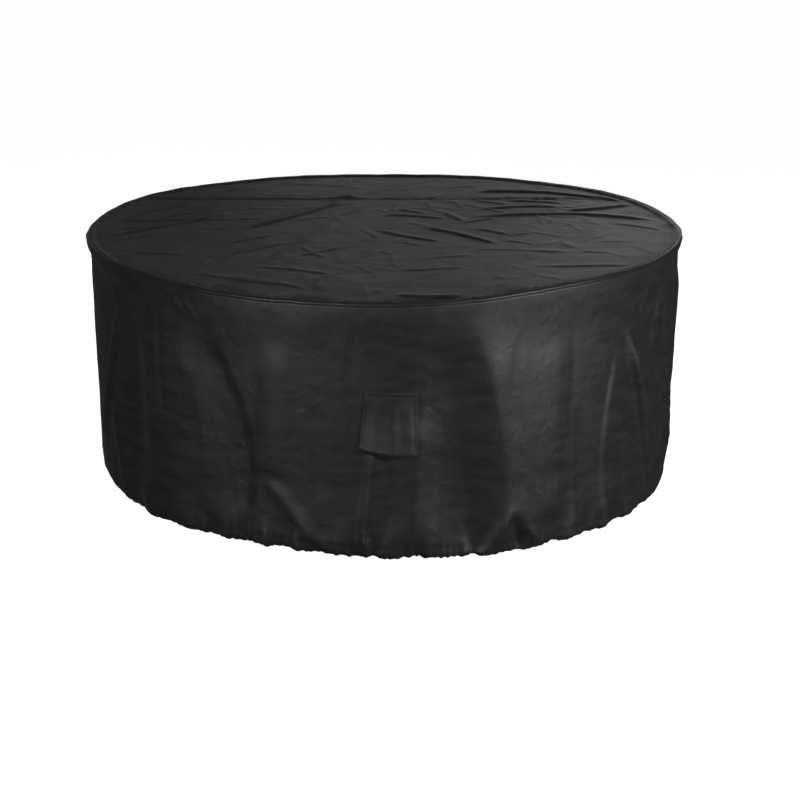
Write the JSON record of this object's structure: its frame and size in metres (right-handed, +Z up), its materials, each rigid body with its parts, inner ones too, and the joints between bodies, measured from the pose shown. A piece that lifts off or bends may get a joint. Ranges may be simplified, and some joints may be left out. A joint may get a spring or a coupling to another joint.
{
  "type": "round patio furniture cover",
  "caption": "Round fitted outdoor cover with a piped rim, a flat seamed top, a softly folded skirt, a gathered hem and a vent flap at the front.",
  "frame": {"origin": "middle of the table top that the cover lies on, on the underside of the cover's top", "axes": "+Z up, -Y towards the front with the vent flap, +X to the right seen from the front"},
  "size_m": [2, 1.9947, 0.8307],
  "materials": {
    "cover_cloth": "black coated polyester with a soft sheen",
    "welt_cloth": "black piping of the same coated cloth"
  },
  "bodies": {
    "root": {"top_front": "cover_cloth", "top_back": "cover_cloth", "rim_welt": "welt_cloth", "skirt": "cover_cloth", "vent_flap": "cover_cloth"}
  },
  "joints": []
}
